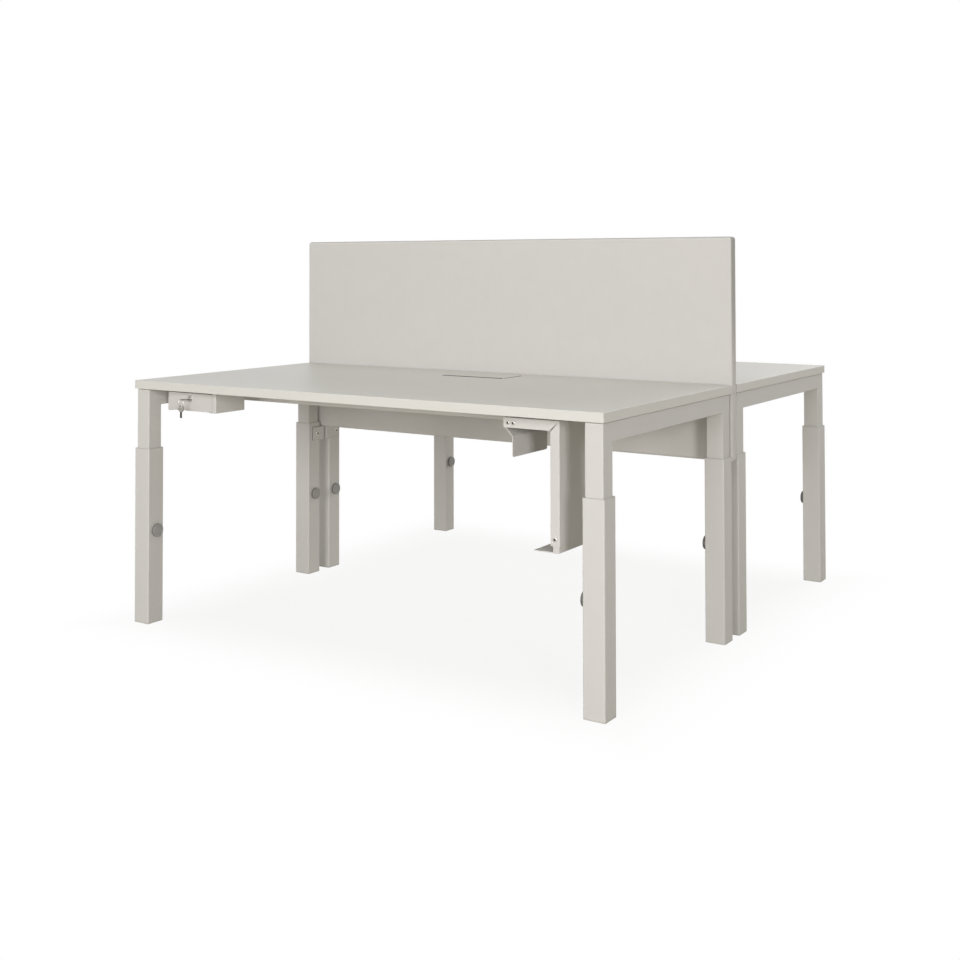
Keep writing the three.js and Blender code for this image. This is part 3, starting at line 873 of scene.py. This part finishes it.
def portal_weldment(desk, side):
    """Two upper tubes and their beam, ground smooth where they meet, with open tube ends."""
    node = f"portal_{desk}_{side}"
    low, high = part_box(node)
    tube = high.x - low.x
    # The beam stops short of the worktop by the dark strip of painted shade.
    beam_top = high.z - SHADE_STRIP_HEIGHT
    beam_low = high.z - tube
    outline = [(low.y, low.z), (low.y, beam_top), (high.y, beam_top), (high.y, low.z),
               (high.y - tube, low.z), (high.y - tube, beam_low),
               (low.y + tube, beam_low), (low.y + tube, low.z)]
    bm = bmesh.new()
    arch = bm.faces.new([bm.verts.new((low.x, y, z)) for y, z in outline])
    other_side = new_verts(bmesh.ops.extrude_face_region(bm, geom=[arch]))
    bmesh.ops.translate(bm, vec=(tube, 0, 0), verts=other_side)
    bmesh.ops.recalc_face_normals(bm, faces=bm.faces)
    sharp = set(edges_of(tube_ends(bm, low.z)) + at(edges_along(bm, X), Z, beam_low))
    round_edges(bm, [edge for edge in bm.edges if edge not in sharp], UPPER_CORNER)
    ends = tube_ends(bm, low.z)
    bmesh.ops.inset_individual(bm, faces=ends, thickness=UPPER_WALL, use_even_offset=True)
    bores = bmesh.ops.extrude_discrete_faces(bm, faces=ends)["faces"]
    bore_verts = [vert for bore in bores for vert in bore.verts]
    bmesh.ops.translate(bm, vec=(0, 0, beam_low - low.z), verts=bore_verts)
    piece(f"portal_weldment_{desk}_{side}", outward(bm), [POWDER_COAT], f"{desk}_desk", "powder_coat", node)


def rail_tube(desk, place):
    """A long rail under a worktop."""
    node = f"{place}_rail_{desk}"
    low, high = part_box(node)
    bm = square_tube(low, high, X, RAIL_CORNER, RAIL_WALL)
    piece(f"rail_tube_{place}_{desk}", bm, [POWDER_COAT], f"{desk}_desk", "powder_coat", node)


for desk in DESKS:
    worktop_board(desk)
    flap_leaf(desk)
    flap_rim(desk)
    flap_brush(desk)
    for side in SIDES:
        painted_shade_strip(desk, side)
        portal_weldment(desk, side)
    for place in RAILS:
        rail_tube(desk, place)


# Screws
def button_screw(name, place, axis, body, size=1.0):
    """A low round head with a socket painted dark for its shade, its seat at place and its head towards axis.
    """
    socket_floor = SCREW_HEIGHT - SCREW_SOCKET_DEPTH
    profile = [(0, 0), (SCREW_RADIUS, 0), (SCREW_RADIUS, SCREW_HEIGHT - SCREW_EDGE)]
    profile += arc(SCREW_RADIUS - SCREW_EDGE, SCREW_HEIGHT - SCREW_EDGE, SCREW_EDGE, 0, 90, BEND_STEPS)
    profile += [(SCREW_SOCKET, SCREW_HEIGHT), (SCREW_SOCKET, socket_floor), (0, socket_floor)]
    bm = spun(profile, SCREW_STEPS)
    # The socket's faces are painted dark for the shade inside it.
    for face in bm.faces:
        centre = face.calc_center_median()
        face.material_index = int(centre.xy.length < SCREW_SOCKET + TINY and centre.z < SCREW_HEIGHT - TINY)
    bmesh.ops.scale(bm, vec=(size, size, size), verts=bm.verts)
    set_at(bm, place, Vector(axis).to_track_quat("Z", "Y"))
    piece(name, bm, [NICKEL, DARK_STEEL_AND_PAINTED_SHADE], body, "nickel")


# Link brackets
def leg_face(side):
    """The face of the inner legs that a bracket lies on, and the way that it looks along X."""
    low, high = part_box(f"lower_leg_near_inner_{side}")
    return (high.x, 1) if side == "left" else (low.x, -1)


def bracket_strap(side):
    """A sheet over the two inner legs, stepped back between them, with the tongue that carries the screen."""
    node = f"link_bracket_{side}"
    low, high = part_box(node)
    face, inward = leg_face(side)
    seat = face + inward * STRAP_SHADE_PAD
    step = face - inward * STRAP_STEP
    plan = [(seat, low.y), (seat, -STRAP_HALF), (step, -STRAP_HALF), (step, STRAP_HALF), (seat, STRAP_HALF),
            (seat, high.y)]
    strap = folded_sheet([(x, y, low.z) for x, y in plan], (0, 0, high.z - low.z))
    finish_sheet(strap, STRAP_BEND, STRAP_SHEET, (seat + inward, 0, low.z))
    tongue_end = low.x if side == "left" else high.x
    tongue_x = sorted((tongue_end, seat + inward * STRAP_SHEET / 2))
    tongue = softened_block((tongue_x[0], -TONGUE_HALF, high.z - STRAP_SHEET),
                            (tongue_x[1], TONGUE_HALF, high.z), PLATE_EDGE)
    piece(f"bracket_strap_{side}", joined(strap, tongue), [POWDER_COAT], "base", "powder_coat", node)


def bracket_shade_pads(side):
    """Thin dark pads between a bracket and its two legs, that stand out a little all round as a painted line
    of shade.
    """
    low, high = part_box(f"link_bracket_{side}")
    face, inward = leg_face(side)
    pad_x = sorted((face, face + inward * STRAP_SHADE_PAD))
    leg_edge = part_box(f"lower_leg_near_inner_{side}")[1].y
    for place, start, end in (("near", low.y - STRAP_SHADE_PAD_RIM, leg_edge),
                              ("far", -leg_edge, high.y + STRAP_SHADE_PAD_RIM)):
        pad = block((pad_x[0], start, low.z - STRAP_SHADE_PAD_RIM), (pad_x[1], end, high.z + STRAP_SHADE_PAD_RIM))
        piece(f"bracket_shade_pad_{place}_{side}", pad, [BLACK_NYLON_AND_PAINTED_SHADE], "base", "grey_nylon")


def bracket_screws(side):
    """The two screws of a bracket. The right bracket is the left one turned half round."""
    low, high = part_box(f"link_bracket_{side}")
    face, inward = leg_face(side)
    head_x = face + inward * STRAP_SHADE_PAD + inward * STRAP_SHEET
    for place, y in STRAP_SCREWS:
        button_screw(f"bracket_screw_{place}_{side}", (head_x, inward * y, (low.z + high.z) / 2),
                     (inward, 0, 0), "base", STRAP_SCREW_SIZE)


for side in SIDES:
    bracket_strap(side)
    bracket_shade_pads(side)
    bracket_screws(side)


# Computer holder
def holder_channel():
    """An inverted L of folded sheet, with flanges that meet in a mitre at the front and at the back."""
    low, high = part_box("holder_frame")
    path = [(low.x, low.y, high.z), (high.x, low.y, high.z), (high.x, low.y, low.z)]
    bm = folded_sheet(path, (0, high.y - low.y, 0))
    for y in (low.y, high.y):
        for edge in at(bm.edges, Y, y):
            on_top = all(vert.co.z > high.z - TINY for vert in edge.verts)
            along, across = (X, Z) if on_top else (Z, X)
            reach = Vector((0, 0, 0))
            reach[across] = -HOLDER_FLANGE
            for corner in add_flange(bm, [edge], reach):
                if corner.co[along] > high[along] - TINY:
                    corner.co[along] += MITRE_GAP - HOLDER_FLANGE
    finish_sheet(bm, HOLDER_BEND, HOLDER_SHEET, (low.x, (low.y + high.y) / 2, low.z))
    piece("holder_channel", bm, [POWDER_COAT], "near_desk", "powder_coat", "holder_frame")


def holder_screws():
    """Two screws in the channel's top flange, and one near the foot of its post."""
    low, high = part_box("holder_frame")
    for name, inset in TOP_SCREWS:
        place = (low.x + inset, low.y, high.z - TOP_SCREW_DROP)
        button_screw(f"holder_screw_{name}", place, FRONT, "near_desk")
    post_place = (high.x - POST_SCREW_INSET, low.y, low.z + POST_SCREW_RISE)
    button_screw("holder_screw_post", post_place, FRONT, "near_desk")


def holder_hook_plate():
    """The sheet that slides in the channel's top and hooks round the computer's side."""
    low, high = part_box("holder_hook")
    slant_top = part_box("holder_frame")[1].z - HOLDER_FLANGE
    slant_low = slant_top - HOOK_SLANT
    path = [(high.x, high.z), (low.x, high.z), (low.x, slant_top), (low.x + HOOK_SLANT, slant_low),
            (low.x + HOOK_SLANT, low.z)]
    bm = folded_sheet([(x, low.y, z) for x, z in path], (0, high.y - low.y, 0))
    tips = [vert for vert in bm.verts if vert.co.z < low.z + TINY]
    bmesh.ops.bevel(bm, geom=tips, offset=HOOK_CORNER, segments=BEND_STEPS, profile=0.5, affect="VERTICES",
                    material=-1)
    finish_sheet(bm, HOLDER_BEND, HOLDER_SHEET, (high.x, (low.y + high.y) / 2, slant_low))
    piece("holder_hook_plate", bm, [POWDER_COAT], "holder_hook", "powder_coat", "holder_hook")


def holder_shelf_plate():
    """The angle that slides in the channel's post and carries the computer."""
    low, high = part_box("holder_shelf")
    flange_top = low.z + SHELF_FLANGE_RISE
    path = [(high.x, high.z), (high.x, low.z), (low.x, low.z)]
    bm = folded_sheet([(x, low.y, z) for x, z in path], (0, high.y - low.y, 0))
    bmesh.ops.bisect_plane(bm, geom=bm.verts[:] + bm.edges[:] + bm.faces[:], plane_co=(0, 0, flange_top),
                           plane_no=(0, 0, 1))
    front_post = [edge for edge in at(edges_along(bm, Z), Y, low.y)
                  if max(vert.co.z for vert in edge.verts) < flange_top + TINY]
    add_flange(bm, front_post, (-SHELF_FLANGE, 0, 0))
    finish_sheet(bm, HOLDER_BEND, HOLDER_SHEET, (low.x, (low.y + high.y) / 2, high.z))
    piece("holder_shelf_plate", bm, [POWDER_COAT], "holder_shelf", "powder_coat", "holder_shelf")


def holder_mount_plate():
    """The plate that carries the holder under the worktop, black as painted shade for the gap above the
    holder.
    """
    low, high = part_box("holder_mount")
    bm = softened_block(low, high, PLATE_EDGE)
    piece("holder_mount_plate", bm, [BLACK_NYLON_AND_PAINTED_SHADE], "near_desk", "grey_nylon", "holder_mount")


holder_channel()
holder_screws()
holder_hook_plate()
holder_shelf_plate()
holder_mount_plate()


# Lockable drawer
def drawer_shell():
    """A folded housing with runner flanges below, a narrow stile at the front and a plate at the back."""
    low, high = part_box("drawer_housing")
    path = [(low.x + RUNNER_WIDTH, low.z), (low.x, low.z), (low.x, high.z), (high.x, high.z), (high.x, low.z),
            (high.x - STILE_WIDTH - RUNNER_WIDTH, low.z)]
    bm = folded_sheet([(x, low.y, z) for x, z in path], (0, high.y - low.y, 0))
    right_post = at(at(edges_along(bm, Z), Y, low.y), X, high.x)
    add_flange(bm, right_post, (-STILE_WIDTH, 0, 0))
    finish_sheet(bm, HOUSING_BEND, HOUSING_SHEET, (low + high) / 2)
    back = softened_block((low.x + HOUSING_SHEET, high.y - HOUSING_SHEET, low.z + HOUSING_SHEET),
                          (high.x - HOUSING_SHEET, high.y, high.z - HOUSING_SHEET), PLATE_EDGE)
    piece("drawer_shell", joined(bm, back), [POWDER_COAT], "near_desk", "powder_coat", "drawer_housing")


def drawer_box():
    """The drawer's front plate and the open tray behind it."""
    low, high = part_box("drawer_tray")
    tray_start = low.y + HOUSING_SHEET
    tray_top = low.z + TRAY_HEIGHT
    front = softened_block(low, (high.x - DRAWER_SEAM, tray_start, high.z - DRAWER_TOP_GAP), PLATE_EDGE)
    tray = block((low.x, tray_start, low.z), (high.x, high.y, tray_top))
    bmesh.ops.delete(tray, geom=faces_towards(tray, Z, 1), context="FACES_ONLY")
    open_rim = set(at(tray.edges, Z, tray_top))
    round_edges(tray, [edge for edge in tray.edges if edge not in open_rim], HOUSING_BEND)
    thicken(tray, TRAY_SHEET)
    piece("drawer_box", joined(front, tray), [POWDER_COAT], "drawer", "powder_coat", "drawer_tray")


drawer_shell()
drawer_box()


# Lock
def lock_sleeve():
    """The barrel in the drawer's front, with a flange round its face."""
    low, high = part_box("lock_barrel")
    middle = (low + high) / 2
    radius = (high.x - low.x) / 2
    length = high.y - low.y - LOCK_FLANGE
    profile = [(LOCK_BORE, -length), (LOCK_NECK, -length), (LOCK_NECK, 0), (radius, 0)]
    profile += arc(radius - LOCK_EDGE, LOCK_FLANGE - LOCK_EDGE, LOCK_EDGE, 0, 90, BEND_STEPS)
    profile += [(LOCK_BORE, LOCK_FLANGE), (LOCK_BORE, -length)]
    bm = spun(profile, LOCK_STEPS)
    set_at(bm, (middle.x, low.y + LOCK_FLANGE, middle.z), Euler((QUARTER_TURN, 0, 0)))
    piece("lock_sleeve", bm, [NICKEL], "drawer", "nickel", "lock_barrel")


def lock_core():
    """The turning plug, with the cam at its back."""
    low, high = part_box("lock_plug")
    face = Vector((low.x + PLUG_RADIUS, low.y, (low.z + high.z) / 2))
    length = high.y - low.y
    profile = [(0, -length), (PLUG_RADIUS, -length)]
    profile += arc(PLUG_RADIUS - LOCK_EDGE, -LOCK_EDGE, LOCK_EDGE, 0, 90, BEND_STEPS)
    profile += [(0, 0)]
    core = spun(profile, LOCK_STEPS)
    set_at(core, face, Euler((QUARTER_TURN, 0, 0)))
    cam = softened_block((face.x - CAM_HALF, high.y - CAM_SHEET, face.z - CAM_HALF),
                         (high.x, high.y, face.z + CAM_HALF), LOCK_EDGE)
    piece("lock_core", joined(core, cam), [NICKEL], "lock", "nickel", "lock_plug")


# Keys
def key_outline(length, cuts):
    """Corners of a flat key: its blade ends at the origin, and its round bow lies towards -Y."""
    centre = KEY_TIP - length - KEY_BOW
    opening = math.degrees(math.asin(KEY_HALF / KEY_BOW))
    corners = [(KEY_HALF - KEY_TIP, 0), (KEY_HALF, -KEY_TIP)]
    for number, depth in enumerate(cuts):
        middle = -KEY_CUT_START - number * KEY_CUT_PITCH
        corners += [(KEY_HALF, middle + KEY_CUT_HALF), (KEY_HALF - depth, middle),
                    (KEY_HALF, middle - KEY_CUT_HALF)]
    corners += arc(0, centre, KEY_BOW, 90 - opening, opening - 270, KEY_BOW_STEPS)
    corners += [(-KEY_HALF, -KEY_TIP), (KEY_TIP - KEY_HALF, 0)]
    hole = arc(0, centre - KEY_HOLE_OFFSET, KEY_HOLE, 0, 360, KEY_HOLE_STEPS)[:-1]
    return corners, hole


def flat_key(length, cuts):
    """A key stamped from sheet, with eased edges, painted shade on its sides, and dark along a blade that has
    cuts.
    """
    bm = bmesh.new()
    rims = []
    for loop in key_outline(length, cuts):
        verts = [bm.verts.new((x, y, -KEY_SHEET / 2)) for x, y in loop]
        rims += [bm.edges.new(pair) for pair in zip(verts, verts[1:] + verts[:1])]
    bmesh.ops.triangle_fill(bm, use_beauty=True, edges=rims)
    upper_side = new_verts(bmesh.ops.extrude_face_region(bm, geom=bm.faces[:]))
    bmesh.ops.translate(bm, vec=(0, 0, KEY_SHEET), verts=upper_side)
    outward(bm)
    corners = folds(bm)
    round_edges(bm, at(corners, Z, KEY_SHEET / 2) + at(corners, Z, -KEY_SHEET / 2), KEY_EDGE, FINE_STEPS)
    bm.normal_update()
    # The side faces get painted shade; a blade with cuts is dark all over.
    for face in bm.faces:
        on_blade = bool(cuts) and face.calc_center_median().y > -length
        face.material_index = int(on_blade or abs(face.normal.z) < SIDE_LEAN)
    return bm


def lock_key():
    """The key in the lock, whose blade is hidden."""
    low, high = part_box("key")
    bm = flat_key(high.y - low.y - 2 * KEY_BOW, ())
    set_at(bm, ((low.x + high.x) / 2, high.y, (low.z + high.z) / 2), Euler((0, 0, 0)))
    piece("lock_key", bm, [NICKEL, DARK_STEEL_AND_PAINTED_SHADE], "lock", "nickel", "key")


def hanging_key():
    """The spare key, hanging from the ring with its blade down."""
    low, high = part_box("spare_key")
    bm = flat_key(high.z - low.z - 2 * KEY_BOW, KEY_CUTS)
    set_at(bm, ((low.x + high.x) / 2, (low.y + high.y) / 2, low.z), Euler((-QUARTER_TURN, 0, 0)))
    piece("hanging_key", bm, [NICKEL, DARK_STEEL_AND_PAINTED_SHADE], "key_bunch", "nickel", "spare_key")


def split_ring():
    """A split ring of two turns of wire, lying side by side."""
    low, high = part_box("key_ring")
    radius = (high.z - low.z) / 2 - RING_WIRE
    wires = [arc(radius, x, RING_WIRE, 0, 360, RING_WIRE_STEPS) for x in (-RING_WIRE, RING_WIRE)]
    bm = joined(*[spun(wire, RING_STEPS) for wire in wires])
    set_at(bm, (low + high) / 2, Euler((0, QUARTER_TURN, 0)))
    piece("split_ring", bm, [NICKEL], "key_bunch", "nickel", "key_ring")


lock_sleeve()
lock_core()
lock_key()
hanging_key()
split_ring()


# Studio
def pale_floor():
    """A pale matt finish that fades to white away from the desks, as seen by the camera alone."""
    material, tree, shader = new_material("pale_floor")
    shader.inputs["Roughness"].default_value = 1.0
    shader.inputs["Specular IOR Level"].default_value = 0.0
    path = tree.nodes.new("ShaderNodeLightPath")
    tone = colour_mix(tree)
    link(tree, path, "Is Camera Ray", tone, "Factor")
    tone.inputs[MIX_FIRST].default_value = FLOOR_BOUNCE
    tone.inputs[MIX_SECOND].default_value = FLOOR_TONE
    link(tree, tone, MIX_RESULT, shader, "Base Color")
    place = tree.nodes.new("ShaderNodeTexCoord")
    reach = tree.nodes.new("ShaderNodeVectorMath")
    reach.operation = "ABSOLUTE"
    link(tree, place, "Object", reach, 0)
    sides = tree.nodes.new("ShaderNodeSeparateXYZ")
    link(tree, reach, "Vector", sides, "Vector")
    distance = calculation(tree, "MAXIMUM")
    link(tree, sides, "X", distance, 0)
    link(tree, sides, "Y", distance, 1)
    fade = smooth_rise(tree, FADE_START, FADE_END)
    fade.inputs["To Min"].default_value = WHITE_NEAR
    link(tree, distance, "Value", fade, "Value")
    seen = calculation(tree, "MULTIPLY")
    link(tree, fade, "Result", seen, 0)
    link(tree, path, "Is Camera Ray", seen, 1)
    white = tree.nodes.new("ShaderNodeEmission")
    mix_shaders(tree, seen, shader, white, tree.nodes["Material Output"])
    return material


def studio_floor():
    """A wide floor under the desks."""
    bm = bmesh.new()
    bmesh.ops.create_grid(bm, x_segments=1, y_segments=1, size=FLOOR_HALF)
    mesh = bpy.data.meshes.new("floor")
    bm.to_mesh(mesh)
    bm.free()
    mesh.materials.append(pale_floor())
    floor = bpy.data.objects.new("floor", mesh)
    bpy.context.scene.collection.objects.link(floor)


def studio_world():
    """Faint light from all round, and white where the camera or a reflection looks past the floor."""
    world = bpy.data.worlds.new("studio")
    bpy.context.scene.world = world
    world.use_nodes = True
    tree = world.node_tree
    soft = tree.nodes["Background"]
    soft.inputs["Color"].default_value = WORLD_TINT
    soft.inputs["Strength"].default_value = WORLD_STRENGTH
    white = tree.nodes.new("ShaderNodeBackground")
    white.inputs["Color"].default_value = WHITE
    path = tree.nodes.new("ShaderNodeLightPath")
    seen = calculation(tree, "MAXIMUM")
    link(tree, path, "Is Camera Ray", seen, 0)
    link(tree, path, "Is Glossy Ray", seen, 1)
    mix_shaders(tree, seen, soft, white, tree.nodes["World Output"])


def soft_light(name, place, target, size, power):
    """A soft light of some width and height that looks from its place to a target."""
    data = bpy.data.lights.new(name, "AREA")
    data.shape = "RECTANGLE"
    data.size, data.size_y = size
    data.energy = power
    light = bpy.data.objects.new(name, data)
    bpy.context.scene.collection.objects.link(light)
    light.location = place
    light.rotation_euler = (Vector(target) - Vector(place)).to_track_quat("-Z", "Y").to_euler()


def photo_camera():
    """The photograph's viewpoint."""
    data = bpy.data.cameras.new("photo_camera")
    data.lens = CAMERA_LENS
    data.shift_y = CAMERA_SHIFT
    camera = bpy.data.objects.new("photo_camera", data)
    bpy.context.scene.collection.objects.link(camera)
    camera.location = CAMERA_PLACE
    level = Euler((QUARTER_TURN + CAMERA_PITCH, 0, CAMERA_AZIMUTH)).to_matrix()
    roll = Euler((0, 0, CAMERA_ROLL)).to_matrix()
    camera.rotation_euler = (level @ roll).to_euler()
    bpy.context.scene.camera = camera


studio_floor()
studio_world()
for light in SOFT_LIGHTS:
    soft_light(*light)
photo_camera()
bpy.context.scene.view_settings.view_transform = "Standard"
